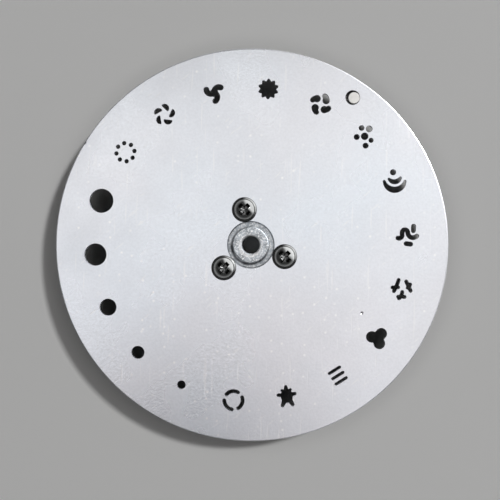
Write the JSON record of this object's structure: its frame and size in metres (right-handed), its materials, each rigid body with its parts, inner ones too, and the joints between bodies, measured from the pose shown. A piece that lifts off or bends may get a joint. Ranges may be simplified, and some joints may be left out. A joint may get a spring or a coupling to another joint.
{
  "type": "gobo wheel",
  "caption": "Flat aluminium gobo wheel with a ring of cut-out light patterns and round apertures, screwed to a turned shaft hub with clamping set screws and a glued index magnet.",
  "frame": {"origin": "centre of the hub's rear face, on the wheel's axis; the wheel stands on this face at z = 0", "axes": "+Z along the wheel's axis, out of the disc's face and the hub's nose; +Y is the upward direction of the picture and +X its right"},
  "size_m": [0.11, 0.11, 0.0125],
  "materials": {
    "disc_aluminium": "satin rolled sheet",
    "hub_aluminium": "turned",
    "black_nickel_steel": "glossy black nickel plate",
    "black_oxide_steel": "black oxide",
    "plated_magnet": "dull nickel plate",
    "black_adhesive": "cured glossy"
  },
  "bodies": {
    "wheel": {"gobo_disc": "disc_aluminium", "hub": "hub_aluminium", "disc_screw_1": "black_nickel_steel", "disc_screw_2": "black_nickel_steel", "disc_screw_3": "black_nickel_steel", "index_magnet": "plated_magnet", "magnet_adhesive": "black_adhesive"},
    "first_set_screw": {"set_screw_1": "black_oxide_steel"},
    "second_set_screw": {"set_screw_2": "black_oxide_steel"}
  },
  "joints": [
    {"name": "set_screw_1_travel", "type": "slide", "parent": "wheel", "child": "first_set_screw", "axis": [-0.7604, -0.6494, 0], "range_m": [-0.0015, 0.0009]},
    {"name": "set_screw_2_travel", "type": "slide", "parent": "wheel", "child": "second_set_screw", "axis": [0.6494, -0.7604, 0], "range_m": [-0.0015, 0.0009]}
  ]
}
